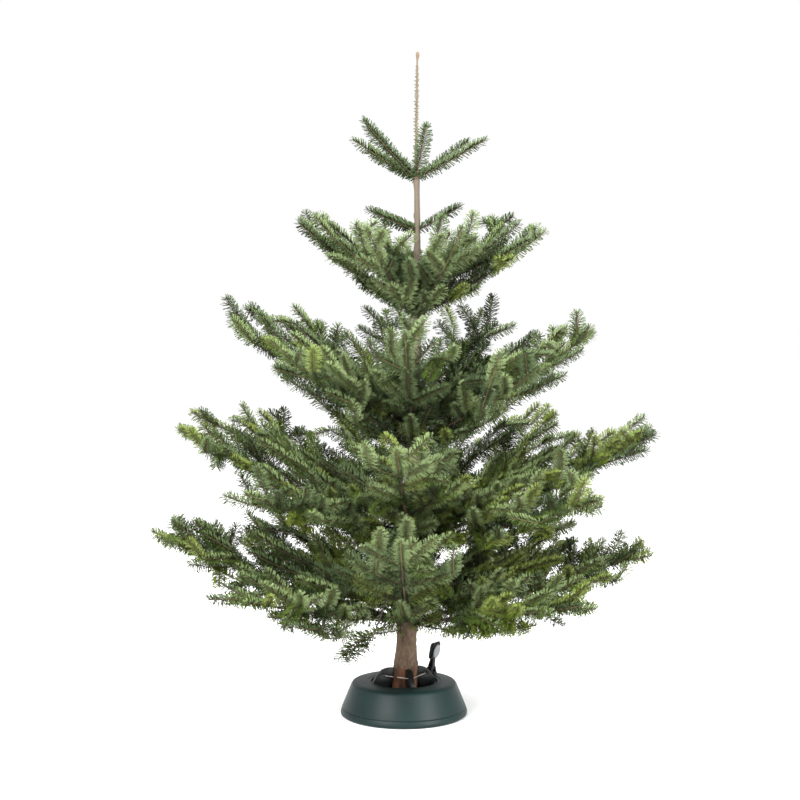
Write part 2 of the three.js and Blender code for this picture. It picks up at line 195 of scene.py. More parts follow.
class Grower:
    """Grows limbs through one mass by a seeded rule, and collects their shoots."""

    def __init__(self, envelope, seed):
        self.envelope = envelope
        self.random = random.Random(seed)
        self.shoots = []
        self.wood = []
        self.leafy = []
        self.sprays = 0

    def keep(self, shoot):
        """Takes a shoot in, and notes where it has needles and where another limb could start."""
        self.shoots.append(shoot)
        for a, b in zip(shoot.points, shoot.points[1:]):
            self.wood.append((*b, *(b - a).normalized()))
            if shoot.age < 2:
                self.leafy.append(b[:])

    def uneven(self, share):
        return 1 + share * (2 * self.random.random() - 1)

    def shoot(self, start, direction, up, length, radius, age, spray, lift):
        """Adds one year's growth, which bends up by lift, and gives its end and its last direction."""
        points = [start]
        bend = Vector([self.random.gauss(0, 0.05) for _ in range(3)]) + UP * lift
        for _ in range(SHOOT_STEPS):
            direction = (direction + bend / SHOOT_STEPS).normalized()
            points.append(points[-1] + direction * (length / SHOOT_STEPS))
        self.keep(Shoot(points, (radius, radius * 0.8), age, up, spray))
        return points[-1], direction

    def limb(self, start, direction, up, years, reach, order, spray=None, lift=0.1):
        """Grows a limb of some years and, at the end of each year, the side limbs that it bears."""
        lengths = [self.uneven(0.16) for _ in range(years)]
        scale = reach / sum(lengths)
        point = start
        gone = 0.0
        for year in range(years):
            left = years - 1 - year
            if spray is None or (order > 1 and year == 0):
                spray = self.next_spray()
            radius = TWIG_RADIUS * (1 + 0.5 * left)
            length = lengths[year] * scale
            begin = point
            point, direction = self.shoot(point, direction, up, length, radius, left, spray, lift)
            gone += length
            if left:
                self.side_limbs(point, direction, up, left, reach - gone, order, spray)
            if order < 4 and left < 4:
                self.weak_shoots(begin, point, direction, up, left, order, spray)

    def next_spray(self):
        self.sprays += 1
        return self.sprays

    def side_limbs(self, point, direction, up, left, ahead, order, spray):
        across = direction.cross(up).normalized()
        for side in (-1, 1):
            turn = math.radians(48 + self.random.uniform(-8, 10))
            tilt = math.radians(self.random.uniform(-16, 22))
            sideways = across * side * math.cos(tilt) + up * math.sin(tilt)
            self.side_limb(point, direction, sideways, turn, up, left, ahead, order, 0.86)
        if order < 3 and left > 1:
            upright = up if self.random.random() < 0.66 else -up
            turn = math.radians(38 + self.random.uniform(-8, 8))
            sideways = (upright + across * self.random.uniform(-0.7, 0.7)).normalized()
            self.side_limb(point, direction, sideways, turn, up, left, ahead, order, 0.66)

    def side_limb(self, point, direction, sideways, turn, up, left, ahead, order, vigour):
        heading = (direction * math.cos(turn) + sideways * math.sin(turn)).normalized()
        wanted = (ahead * vigour + 0.02) * self.uneven(0.18)
        if order == 0:
            wanted = max(wanted, 0.7 * self.envelope.share(self.envelope.right, self.out_at(point)))
        reach = min(wanted, self.envelope.room(point, heading, wanted) * self.uneven(0.08))
        if reach < SHORTEST_SHOOT:
            return
        years = max(1, min(left, round(reach / (YEAR_GROWTH * 0.78))))
        side_up = (up - heading * up.dot(heading)).normalized()
        self.limb(point, heading, side_up, years, reach, order + 1, None if order < 2 else self.sprays)

    def out_at(self, point):
        return (point - self.envelope.root).dot(self.envelope.out)

    def weak_shoots(self, begin, end, direction, up, left, order, spray):
        """The small shoots between one year's whorl and the next."""
        across = direction.cross(up).normalized()
        length = (end - begin).length
        count = round(length / 0.05) if left else round(length / 0.09 * self.random.random())
        for i in range(count):
            if self.random.random() < 0.45:
                continue
            side = 1 if (i + spray) % 2 else -1
            share = (i + 0.6) / max(count, 1)
            turn = math.radians(self.random.uniform(46, 62))
            tilt = self.random.uniform(-0.2, 0.8)
            sideways = (across * side + up * tilt).normalized()
            heading = (direction * math.cos(turn) + sideways * math.sin(turn)).normalized()
            wanted = self.random.uniform(0.035, 0.075) * (1 + 0.35 * min(left, 3))
            start = begin.lerp(end, share)
            reach = self.envelope.room(start, heading, wanted)
            if reach >= SHORTEST_SHOOT:
                side_up = (up - heading * up.dot(heading)).normalized()
                self.shoot(start, heading, side_up, reach, TWIG_RADIUS, 0, spray, 0.1)

    def main_limb(self):
        """The bough's own line, from the stem to the mass's tip, with the side limbs it bears."""
        shape = self.envelope
        years = max(2, round(shape.reach / YEAR_GROWTH))
        tip = shape.reach - 0.004
        nodes = [tip * (0.14 + 0.86 * (k / years) ** 0.92) if k else 0.0 for k in range(years + 1)]
        for year in range(years):
            left = years - 1 - year
            begin, end = nodes[year], nodes[year + 1]
            points = [shape.place(begin + (end - begin) * i / SHOOT_STEPS) for i in range(SHOOT_STEPS + 1)]
            direction = (points[-1] - points[-2]).normalized()
            up = shape.across.cross(-direction).normalized()
            spray = self.next_spray()
            radius = TWIG_RADIUS * (1 + BOUGH_TAPER * (left + 1))
            self.keep(Shoot(points, (radius, radius * 0.84), left, up, spray))
            if left:
                self.side_limbs(points[-1], direction, up, left, tip - end, 0, spray)
            if end > BARE_LENGTH:
                self.weak_shoots(points[0], points[-1], direction, up, left, 1, spray)

    def inner_limb(self, stem, height, target):
        """A lesser limb from the stem above the bough, which fills the mass's upper and outer parts."""
        start = stem.point(height)
        direction = (target - start).normalized()
        reach = (target - start).length
        up = (UP - direction * direction.z).normalized()
        years = max(2, round(reach / YEAR_GROWTH))
        self.limb(start, (direction - UP * 0.08).normalized(), up, years, reach, 1, None, 0.05)

    def fill(self, spacing, tries):
        """Grows small limbs towards the mass's empty places, each from the wood best placed for it."""
        for _ in range(tries):
            goal = self.somewhere()
            leafy = np.array(self.leafy)
            if np.min(np.linalg.norm(leafy - goal[:], axis=1)) < spacing:
                continue
            wood = np.array(self.wood)
            span = np.array(goal[:]) - wood[:, :3]
            distance = np.linalg.norm(span, axis=1) + 1e-6
            facing = np.sum(span * wood[:, 3:], axis=1) / distance
            best = int(np.argmin(distance * (1.4 - facing)))
            if facing[best] < 0.1 or not SHORTEST_SHOOT < distance[best] < LONGEST_REACH:
                continue
            start = Vector(wood[best, :3])
            direction = (goal - start).normalized()
            up = (UP - direction * direction.z).normalized()
            reach = float(distance[best]) + 0.02
            self.limb(start, (direction - UP * 0.06).normalized(), up, 1 if reach < 0.16 else 2, reach, 3)

    def somewhere(self):
        """A random place in the mass."""
        u = self.envelope.reach * self.random.uniform(0.08, 0.98)
        angle = self.random.uniform(0, 2 * math.pi)
        away = 0.95 * math.sqrt(self.random.random())
        height = away * math.sin(angle)
        if height < 0:
            height *= WOOD_DEPTH_BELOW
        return self.envelope.place(u, away * math.cos(angle), height)


def grow_mass(node, stem, seed):
    shape = Envelope(node, stem)
    grower = Grower(shape, seed)
    grower.main_limb()
    pick = grower.random
    for share, side, depth in ((0.62, -0.55, 0.6), (0.66, 0.55, 0.55), (0.42, 0.1, 0.72), (0.5, 0.0, -0.6)):
        u = shape.reach * share * pick.uniform(0.92, 1.08)
        target = shape.place(u, side * pick.uniform(0.8, 1.1), depth * pick.uniform(0.85, 1.1))
        height = shape.root.z + (pick.uniform(0.02, 0.09) if depth > 0 else -pick.uniform(0.0, 0.03))
        grower.inner_limb(stem, height, target)
    grower.fill(FILL_SPACING, FILL_TRIES)
    return grower.shoots


def shoot_tips(node):
    """The tips of a star of single shoots, found as the far clusters of its vertices."""
    co = vertices(node)
    flat = co[:, :2] - [0.034, 0]
    far = np.hypot(flat[:, 0], flat[:, 1]) > 0.07
    co, flat = co[far], flat[far]
    azimuth = np.degrees(np.arctan2(flat[:, 1], flat[:, 0]))
    tips = []
    for cluster in groups(azimuth, 9):
        away = np.hypot(flat[cluster, 0], flat[cluster, 1])
        tips.append(Vector(co[cluster[np.argsort(away)[-6:]]].mean(0)))
    return tips


def grow_single_shoots(node, stem, height, seed):
    """One strong shoot out to each tip, bent up as it goes, with a weak side shoot or two at its foot."""
    pick = random.Random(seed)
    shoots = []
    for index, tip in enumerate(shoot_tips(node)):
        start = stem.point(height)
        span = tip - start
        middle = start + span * 0.5 - UP * span.z * 0.04
        points = [start, start.lerp(middle, 0.5) - UP * 0.002, middle, middle.lerp(tip, 0.5), tip]
        up = (UP - span.normalized() * span.normalized().z).normalized()
        shoots.append(Shoot(points, (TWIG_RADIUS * 1.5, TWIG_RADIUS), 0, up, index + 1))
        if pick.random() < 0.7:
            side = span.normalized().cross(up) * pick.choice((-1, 1))
            heading = (span.normalized() + side * 0.8).normalized()
            base = start.lerp(middle, 0.35)
            ends = [base + heading * 0.045 * i / 2 for i in range(3)]
            shoots.append(Shoot(ends, (TWIG_RADIUS, TWIG_RADIUS * 0.8), 0, up, index + 1))
    return shoots


# The side shoots of the hanging spray: where along it each starts, to which side it goes, and its length.
HANGING_SHOOTS = ((0.2, 1, 0.062), (0.25, -1, 0.06), (0.5, 1, 0.05), (0.55, -1, 0.052), (0.05, -1, 0.05))


def grow_hanging(anchor):
    """The spray that hangs below the front bough, on a thin twig from the nearest limb."""
    low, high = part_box("foliage_hanging")
    start = Vector((high.x, high.y - 0.02, high.z))
    tip = Vector((low.x + 0.02, low.y + 0.02, low.z + 0.025))
    shoots = []
    direction = (tip - start).normalized()
    up = (UP - direction * direction.z).normalized()
    across = direction.cross(up)
    length = (tip - start).length
    shoots.append(Shoot([anchor, anchor.lerp(start, 0.5) - UP * 0.006, start], (0.002, 0.0018), 3, up, 1))
    axis = [start.lerp(tip, i / 4) + UP * 0.012 * math.sin(math.pi * i / 4) for i in range(5)]
    shoots.append(Shoot(axis, (0.0018, 0.0012), 0, up, 1))
    for share, side, run in HANGING_SHOOTS:
        base = start.lerp(tip, share)
        heading = (direction * 0.7 + across * side * 0.7 - UP * 0.35).normalized()
        ends = [base + heading * min(run, length) * i / 2 for i in range(3)]
        shoots.append(Shoot(ends, (0.0013, 0.001), 0, up, 2))
    return shoots


# ---------------------------------------------------------------- meshes


def mesh_object(name, points, faces, slots=None, materials=()):
    """A mesh object from arrays of points and of faces that all have the same number of corners."""
    mesh = bpy.data.meshes.new(name)
    points = np.asarray(points, np.float32)
    faces = np.asarray(faces, np.int32)
    corners = faces.shape[1]
    mesh.vertices.add(len(points))
    mesh.vertices.foreach_set("co", points.ravel())
    mesh.loops.add(faces.size)
    mesh.loops.foreach_set("vertex_index", faces.ravel())
    mesh.polygons.add(len(faces))
    mesh.polygons.foreach_set("loop_start", np.arange(len(faces), dtype=np.int32) * corners)
    mesh.polygons.foreach_set("loop_total", np.full(len(faces), corners, np.int32))
    if slots is not None:
        mesh.polygons.foreach_set("material_index", np.asarray(slots, np.int32))
    for material in materials:
        mesh.materials.append(material)
    mesh.update(calc_edges=True)
    item = bpy.data.objects.new(name, mesh)
    bpy.context.collection.objects.link(item)
    return item


def smooth(item, angle=40):
    for polygon in item.data.polygons:
        polygon.use_smooth = True
    item.data.set_sharp_from_angle(angle=math.radians(angle))
    return item


def tube(path, radii, sides, relief=None):
    """Points and triangles of a closed tube along a path, with a radius at each point."""
    path = np.asarray(path, float)
    tangent = np.gradient(path, axis=0)
    tangent /= np.linalg.norm(tangent, axis=1)[:, None]
    helper = np.array([0.0, 0, 1]) if abs(tangent[0, 2]) < 0.9 else np.array([1.0, 0, 0])
    normal = np.cross(tangent[0], helper)
    normal /= np.linalg.norm(normal)
    turn = np.arange(sides) * 2 * np.pi / sides
    points = []
    for i, (at, t, radius) in enumerate(zip(path, tangent, radii)):
        normal = normal - t * (normal @ t)
        normal /= np.linalg.norm(normal)
        binormal = np.cross(t, normal)
        reach = radius if relief is None else relief(i, turn, radius)
        ring = np.cos(turn)[:, None] * normal + np.sin(turn)[:, None] * binormal
        points.append(at + ring * np.reshape(reach, (-1, 1)))
    points.append(path[:1])
    points.append(path[-1:])
    count = len(path)
    i = np.arange(sides)
    following = (i + 1) % sides
    faces = []
    for k in range(count - 1):
        a, b = k * sides + i, k * sides + following
        c, d = b + sides, a + sides
        faces.append(np.stack([a, b, c], 1))
        faces.append(np.stack([a, c, d], 1))
    first, last = count * sides, count * sides + 1
    faces.append(np.stack([np.full(sides, first), following, i], 1))
    end = (count - 1) * sides
    faces.append(np.stack([np.full(sides, last), end + i, end + following], 1))
    return np.concatenate(points), np.concatenate(faces)


def joined(parts):
    """Several (points, faces, slot) bodies as the arrays of one mesh."""
    points, faces, slots = [], [], []
    offset = 0
    for body, skin, slot in parts:
        points.append(body)
        faces.append(skin + offset)
        slots.append(np.full(len(skin), slot))
        offset += len(body)
    return np.concatenate(points), np.concatenate(faces), np.concatenate(slots)


def twig_parts(shoots):
    """A closed tapering tube for each shoot, with more sides where the wood is thick."""
    parts = []
    for s in shoots:
        path = np.array([p[:] for p in s.points])
        radii = np.linspace(s.radii[0], s.radii[1], len(path))
        sides = 3 if s.age < 2 else (5 if s.age < 4 else 7)
        skin = tube(path, radii, sides)
        parts.append((*skin, 0 if s.age == 0 else (1 if s.age < 3 else 2)))
    return parts


def path_frames(points, along):
    """Positions and directions at shares of a path's length."""
    path = np.array([p[:] for p in points])
    steps = np.linalg.norm(np.diff(path, axis=0), axis=1)
    total = np.concatenate([[0], np.cumsum(steps)])
    where = along * total[-1]
    at = np.stack([np.interp(where, total, path[:, i]) for i in range(3)], 1)
    which = np.clip(np.searchsorted(total, where, side="right") - 1, 0, len(steps) - 1)
    directions = np.diff(path, axis=0) / steps[:, None]
    return at, directions[which]


def unit(rows):
    return rows / np.maximum(np.linalg.norm(rows, axis=1), 1e-9)[:, None]


# The share of full density that wood of each age keeps: the inner limbs are nearly bare.
DENSITY = (1.0, 0.85, 0.5, 0.22, 0.06, 0.0)


def needle_corners(shoot, rng, density, length=NEEDLE_LENGTH):
    """The four corners of each needle: a strap that leans forward and spreads to both sides and above."""
    span = sum((b - a).length for a, b in zip(shoot.points, shoot.points[1:]))
    keep = DENSITY[min(shoot.age, len(DENSITY) - 1)]
    count = int(span * density * keep)
    if count < 3:
        return np.empty((0, 4, 3))
    along = (np.arange(count) + rng.random(count)) / count
    at, direction = path_frames(shoot.points, along)
    up = np.array(shoot.up[:])[None, :] - direction * (direction @ np.array(shoot.up[:]))[:, None]
    up = unit(up)
    side = np.cross(direction, up)
    turn = np.arange(count) * 2.39996 + rng.normal(0, 0.25, count)
    turn = (turn + np.pi) % (2 * np.pi) - np.pi
    turn *= 0.82
    tip = np.clip((along - 0.86) / 0.14, 0, 1) if shoot.age == 0 else np.zeros(count)
    lean = np.radians(67 - 12 * np.cos(turn) + rng.normal(0, 6, count)) * (1 - 0.45 * tip)
    radial = np.cos(turn)[:, None] * up + np.sin(turn)[:, None] * side
    heading = unit(np.cos(lean)[:, None] * direction + np.sin(lean)[:, None] * radial)
    face = up + direction * np.clip(np.cos(turn), 0, 1)[:, None] * 0.8
    width = unit(np.cross(heading, face))
    normal = np.cross(width, heading)
    size = length * (0.82 + 0.18 * np.sin(np.pi * along)) * rng.uniform(0.88, 1.08, count) * (1 - 0.25 * tip)
    size *= 0.86 + 0.14 * np.abs(np.sin(turn))
    end = at + heading * size[:, None]
    base = at + heading * 0.001
    half = width * NEEDLE_WIDTH / 2
    rise = normal * NEEDLE_RISE
    corners = [base - half * 0.7 + rise, base + half * 0.7 - rise, end + half + rise, end - half - rise]
    return np.stack(corners, 1)


def needle_mesh(name, batches, materials):
    """One object of closed four-faced needles. Each batch is its corners and the number of its colour."""
    pale = len(NEEDLE_COLOURS)
    corners = np.concatenate([c for c, _ in batches])
    colour = np.concatenate([np.full(len(c), k) for c, k in batches])
    first = np.arange(len(corners))[:, None] * 4
    upper = np.array([[0, 1, 2], [0, 2, 3]])
    lower = np.array([[0, 3, 1], [1, 3, 2]])
    faces = (first[:, :, None] + np.concatenate([upper, lower])[None]).reshape(-1, 3)
    slots = np.stack([colour, colour, colour + pale, colour + pale], 1).ravel()
    return mesh_object(name, corners.reshape(-1, 3), faces, slots, materials)


# ---------------------------------------------------------------- materials


def srgb(r, g, b):
    """A colour given as 0 to 255 sRGB, in the linear values that a shader takes."""
    linear = [c / 255 / 12.92 if c <= 10 else ((c / 255 + 0.055) / 1.055) ** 2.4 for c in (r, g, b)]
    return (*linear, 1)


class Shader:
    """A material with a principled shader, and short ways to add nodes to it."""

    def __init__(self, name, base, roughness=0.5, metallic=0.0, specular=0.5):
        self.material = bpy.data.materials.new(name)
        self.material.use_nodes = True
        self.nodes = self.material.node_tree.nodes
        self.bsdf = self.nodes["Principled BSDF"]
        self.bsdf.inputs["Base Color"].default_value = base
        self.bsdf.inputs["Roughness"].default_value = roughness
        self.bsdf.inputs["Metallic"].default_value = metallic
        self.bsdf.inputs["Specular IOR Level"].default_value = specular

    def add(self, kind, **values):
        node = self.nodes.new(kind)
        for key, value in values.items():
            setattr(node, key, value)
        return node

    def link(self, source, target):
        self.material.node_tree.links.new(source, target)

    def place(self, scale=(1, 1, 1)):
        """Object coordinates, stretched by a scale."""
        where = self.add("ShaderNodeTexCoord")
        mapping = self.add("ShaderNodeMapping")
        mapping.inputs["Scale"].default_value = scale
        self.link(where.outputs["Object"], mapping.inputs["Vector"])
        return mapping.outputs["Vector"]

    def noise(self, scale, detail, stretch=(1, 1, 1)):
        node = self.add("ShaderNodeTexNoise")
        node.inputs["Scale"].default_value = scale
        node.inputs["Detail"].default_value = detail
        node.inputs["Roughness"].default_value = 0.55
        self.link(self.place(stretch), node.inputs["Vector"])
        return node.outputs["Fac"]

    def ramp(self, source, stops):
        node = self.add("ShaderNodeValToRGB")
        band = node.color_ramp
        while len(band.elements) < len(stops):
            band.elements.new(0.5)
        for element, (at, colour) in zip(band.elements, stops):
            element.position = at
            element.color = colour
        self.link(source, node.inputs["Fac"])
        return node.outputs["Color"]

    def mix(self, factor, a, b):
        node = self.add("ShaderNodeMix", data_type="RGBA")
        for value, name in ((factor, 0), (a, 6), (b, 7)):
            if isinstance(value, bpy.types.NodeSocket):
                self.link(value, node.inputs[name])
            else:
                node.inputs[name].default_value = value
        return node.outputs[2]

    def bump(self, source, strength, distance):
        node = self.add("ShaderNodeBump")
        node.inputs["Strength"].default_value = strength
        node.inputs["Distance"].default_value = distance
        self.link(source, node.inputs["Height"])
        self.link(node.outputs["Normal"], self.bsdf.inputs["Normal"])

    def rough(self, source, low, high):
        node = self.add("ShaderNodeMapRange")
        node.inputs["To Min"].default_value = low
        node.inputs["To Max"].default_value = high
        self.link(source, node.inputs["Value"])
        self.link(node.outputs["Result"], self.bsdf.inputs["Roughness"])


# The needles' colours: the upper side and the paler lower side. The shaded pair is painted shade, for sprays
# inside the crown.
NEEDLE_COLOURS = (
    ("deep", (28, 40, 9), (70, 84, 54)),
    ("mid", (41, 56, 15), (90, 105, 69)),
    ("fresh", (61, 78, 23), (114, 129, 86)),
    # yellowish: partly fresh growth's own colour, partly a painted highlight, dealt where light falls on the
    # lower right
    ("yellowish", (88, 103, 28), (116, 130, 68)),
    ("shaded", (18, 26, 6), (27, 36, 18)),
)
DEEP, MID, FRESH, YELLOWISH, SHADED = range(len(NEEDLE_COLOURS))


def needle_paint(name, colour, roughness):
    return Shader(name, srgb(*colour), roughness, specular=0.12).material


def needle_materials():
    """The colours of the needles' upper sides, and then of their paler lower sides in the same order."""
    upper = [needle_paint(f"needle_{name}", colour, 0.5) for name, colour, _ in NEEDLE_COLOURS]
    lower = [needle_paint(f"needle_{name}_pale", colour, 0.6) for name, _, colour in NEEDLE_COLOURS]
    return upper + lower


def twig_materials():
    made = []
    for name, light, dark in (
        ("twig_young", (104, 92, 54), (78, 66, 40)),
        ("twig_brown", (78, 58, 42), (52, 38, 28)),
        ("limb_bark", (64, 50, 42), (36, 28, 22)),
    ):
        shader = Shader(name, srgb(*light), 0.8)
        grain = shader.noise(160, 3)
        colour = shader.ramp(grain, [(0.3, srgb(*dark)), (0.7, srgb(*light))])
        shader.link(colour, shader.bsdf.inputs["Base Color"])
        shader.bump(grain, 0.4, 0.0006)
        made.append(shader.material)
    return made


def bark_material():
    shader = Shader("bark", srgb(78, 66, 56), 0.85)
    blotch = shader.noise(22, 6, (1, 1, 0.5))
    fine = shader.noise(240, 5, (1, 1, 0.35))
    stops = [(0.34, srgb(62, 46, 33)), (0.5, srgb(92, 74, 56)), (0.66, srgb(118, 101, 81))]
    grey = shader.ramp(blotch, stops)
    speckle = shader.ramp(fine, [(0.38, (0.45, 0.4, 0.36, 1)), (0.6, (1, 1, 1, 1))])
    multiply = shader.add("ShaderNodeMix", data_type="RGBA", blend_type="MULTIPLY")
    multiply.inputs[0].default_value = 0.75
    shader.link(grey, multiply.inputs[6])
    shader.link(speckle, multiply.inputs[7])
    where = shader.add("ShaderNodeTexCoord")
    axes = shader.add("ShaderNodeSeparateXYZ")
    shader.link(where.outputs["Object"], axes.inputs[0])
    ragged = shader.add("ShaderNodeMath", operation="MULTIPLY_ADD")
    ragged.inputs[1].default_value = 0.09
    shader.link(shader.noise(30, 4), ragged.inputs[0])
    shader.link(axes.outputs["Z"], ragged.inputs[2])
    peeled = shader.ramp(ragged.outputs[0], [(0.182, (1, 1, 1, 1)), (0.194, (0, 0, 0, 1))])
    young = shader.ramp(axes.outputs["Z"], [(0.4, (0, 0, 0, 1)), (0.999, (1, 1, 1, 1))])
    leader = shader.add("ShaderNodeMapRange")
    leader.inputs["From Min"].default_value = 1.58
    leader.inputs["From Max"].default_value = 1.72
    shader.link(axes.outputs["Z"], leader.inputs["Value"])
    wood = shader.mix(young, multiply.outputs[2], srgb(98, 88, 74))
    wood = shader.mix(leader.outputs["Result"], wood, srgb(104, 88, 68))
    inner = shader.ramp(
        shader.noise(48, 6, (1, 1, 0.25)),
        [(0.36, srgb(36, 20, 11)), (0.5, srgb(72, 42, 23)), (0.64, srgb(112, 72, 41))],
    )
    shader.link(shader.mix(peeled, wood, inner), shader.bsdf.inputs["Base Color"])
    shader.bump(fine, 0.9, 0.002)
    return shader.material


def plastic(name, colour, roughness, grain=900, depth=0.00012):
    """Moulded plastic: an even colour with a fine grain, and slow changes of gloss."""
    shader = Shader(name, srgb(*colour), roughness)
    slow = shader.noise(9, 3)
    light = [min(255, c * 1.12 + 3) for c in colour]
    dark = [c * 0.9 for c in colour]
    tint = shader.ramp(slow, [(0.3, srgb(*dark)), (0.7, srgb(*light))])
    shader.link(tint, shader.bsdf.inputs["Base Color"])
    shader.rough(slow, roughness - 0.06, roughness + 0.08)
    shader.bsdf.inputs["Specular IOR Level"].default_value = 0.22
    shader.bump(shader.noise(grain, 2), 0.35, depth)
    return shader.material


def steel():
    shader = Shader("steel_wire", srgb(196, 190, 184), 0.34, metallic=1.0)
    shader.rough(shader.noise(500, 3), 0.25, 0.5)
    return shader.material


# ---------------------------------------------------------------- stem


STEM_SIDES = 44
BARK_RISE = 0.004  # the most that the bark stands off the CAD trunk


def scar_height(away):
    """The swelling round a scar, less the dimple in its middle, at a distance in scar sizes."""
    return 0.0022 * math.exp(-((away - 0.7) ** 2) * 7) - 0.0012 * math.exp(-away * away * 8)


def bark_radius(angle, z, radius, scars):
    """The bark's distance from the stem's middle at one angle and height."""
    x, y = math.cos(angle), math.sin(angle)
    ridge = noise.noise(Vector((x * radius * 60, y * radius * 60, z * 16)))
    fine = noise.noise(Vector((x * radius * 230, y * radius * 230, z * 120)))
    lumps = noise.noise(Vector((x * 1.4, y * 1.4, z * 7 + 4)))
    out = radius * (1 + 0.045 * lumps) + min(radius, 0.02) * (0.09 * ridge + 0.06 * fine)
    for height, at, size in scars:
        if abs(z - height) < 2.2 * size:
            aside = math.remainder(angle - at, 2 * math.pi) * radius
            out += scar_height(math.hypot(aside, z - height) / size)
    return out


def build_stem(stem, material):
    """The stem with bark relief, slow lumps and the scars, with their swellings, where small shoots have
    dropped.
    """
    low, high = stem.z[0], stem.z[-1]
    heights = np.concatenate([np.arange(low, 1.62, 0.005), np.arange(1.62, high, 0.006), [high]])
    radii = np.interp(heights, stem.z, stem.radius)
    kernel = np.array([1, 2, 3, 2, 1]) / 9
    soft = np.convolve(np.pad(radii, 2, mode="edge"), kernel, "valid")
    radii = np.where(heights < 1.62, soft, radii)
    path = np.stack([np.interp(heights, stem.z, stem.x), np.zeros(len(heights)), heights], 1)
    pick = random.Random(17)
    scars = [
        (pick.uniform(0.14, 1.5), pick.uniform(0, 2 * math.pi), pick.uniform(0.006, 0.011))
        for _ in range(34)
    ]
    scars.append((0.201, math.radians(-52), 0.013))

    def relief(i, turn, radius):
        out = np.array([bark_radius(angle, heights[i], radius, scars) for angle in turn])
        return np.minimum(out, radius + BARK_RISE)

    points, faces = tube(path, radii, STEM_SIDES, relief)
    item = mesh_object("stem", points, faces, None, [material])
    return smooth(item, 70)


def bud(at, size, material):
    """The leader's cluster of buds: a few scaly drops."""
    parts = []
    for k, (dx, dy, dz, scale) in enumerate(
        ((0, 0, 0.002, 1), (0.6, 0.1, -0.002, 0.75), (-0.5, 0.3, -0.003, 0.7), (0.1, -0.6, -0.003, 0.72))
    ):
        centre = np.array(at[:]) + np.array([dx, dy, 0]) * size * 0.7 + [0, 0, dz]
        heights = np.linspace(-1, 1, 7)
        path = centre + np.outer(heights, [dx * 0.2, dy * 0.2, 1]) * size * scale
        radii = size * 0.72 * scale * np.sqrt(np.clip(1 - heights**2, 0.01, 1))
        parts.append((*tube(path, radii, 10), 0))
    points, faces, slots = joined(parts)
    return smooth(mesh_object("leader_bud", points, faces, slots, [material]), 60)


# ---------------------------------------------------------------- stand


def lathe(name, profile, segments, material):
    """A turned body: its closed profile of (radius, height) points swept round the upright axis."""
    profile = np.asarray(profile, float)
    turn = np.arange(segments) * 2 * np.pi / segments
    points = np.stack(
        [
            np.outer(profile[:, 0], np.cos(turn)),
            np.outer(profile[:, 0], np.sin(turn)),
            np.repeat(profile[:, 1:], segments, 1),
        ],
        2,
    ).reshape(-1, 3)
    faces = []
    i = np.arange(segments)
    following = (i + 1) % segments
    for k in range(len(profile)):
        a = k * segments
        b = ((k + 1) % len(profile)) * segments
        faces.append(np.stack([a + i, a + following, b + following, b + i], 1))
    item = mesh_object(name, points, np.concatenate(faces), None, [material])
    return smooth(item, 38)


def rounded(profile, radius, steps):
    """A closed profile with each of its corners turned into a small arc."""
    profile = [Vector(p) for p in profile]
    result = []
    for i, corner in enumerate(profile):
        before = profile[i - 1] - corner
        after = profile[(i + 1) % len(profile)] - corner
        cut = min(radius, before.length * 0.45, after.length * 0.45)
        a = corner + before.normalized() * cut
        b = corner + after.normalized() * cut
        for k in range(steps + 1):
            t = k / steps
            result.append(tuple((a * (1 - t) + corner * t) * (1 - t) + (corner * (1 - t) + b * t) * t))
    return result


def build_shell(material):
    """The green shell, with its rounded shoulder, the line near its foot and the lip round its opening."""
    low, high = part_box("stand_shell")
    radius = high.x
    top = 0.101
    shoulder = 0.158
    opening = 0.099
    wall = 0.004
    eye = 0.004
    outline = [
        (eye, 0.0),
        (radius - 0.006, 0.0),
        (radius - 0.0005, 0.004),
        (radius, 0.0105),
        (radius - 0.0032, 0.0215),
        (radius - 0.0050, 0.0222),
        (radius - 0.0052, 0.0232),
        (radius - 0.0040, 0.0240),
        (shoulder + 0.0005, top - 0.009),
        (shoulder - 0.0035, top - 0.0035),
        (shoulder - 0.0075, top - 0.0022),
        (shoulder - 0.0095, top - 0.0030),
        (shoulder - 0.0120, top - 0.0016),
        (opening + 0.012, top),
        (opening + 0.0095, top - 0.0014),
        (opening + 0.0070, top),
        (opening + 0.0015, top),
        (opening, top - 0.002),
        (opening, top - 0.012),
        (opening + wall, top - 0.012),
        (opening + wall, top - wall),
        (shoulder - 0.013, top - wall - 0.001),
        (shoulder - wall - 0.001, top - 0.011),
        (radius - wall - 0.004, 0.008),
        (radius - wall - 0.008, 0.005),
        (eye, 0.005),
    ]
    return lathe("stand_shell_skin", rounded(outline, 0.0011, 3), 144, material)


def build_tank(material):
    """The black tank in the opening, with a rolled rim."""
    outer, base, wall, foot = 0.0965, 0.084, 0.003, 0.0055
    outline = [
        (0.002, foot),
        (base, foot),
        (outer, 0.096),
        (outer - 0.0006, 0.0972),
        (outer - wall, 0.0972),
        (outer - wall - 0.0006, 0.096),
        (base - wall, foot + 0.004),
        (0.002, foot + 0.004),
    ]
    return lathe("tank_bowl", rounded(outline, 0.0008, 2), 96, material)


def dressed(name, node, material, bevel=0.0012, segments=2):
    """A finished copy of a piece of the frame, with its sharp edges rounded."""
    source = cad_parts[node]
    item = bpy.data.objects.new(name, source.data.copy())
    bpy.context.collection.objects.link(item)
    item.data.materials.clear()
    item.data.materials.append(material)
    return rounded_off(item, bevel, segments)


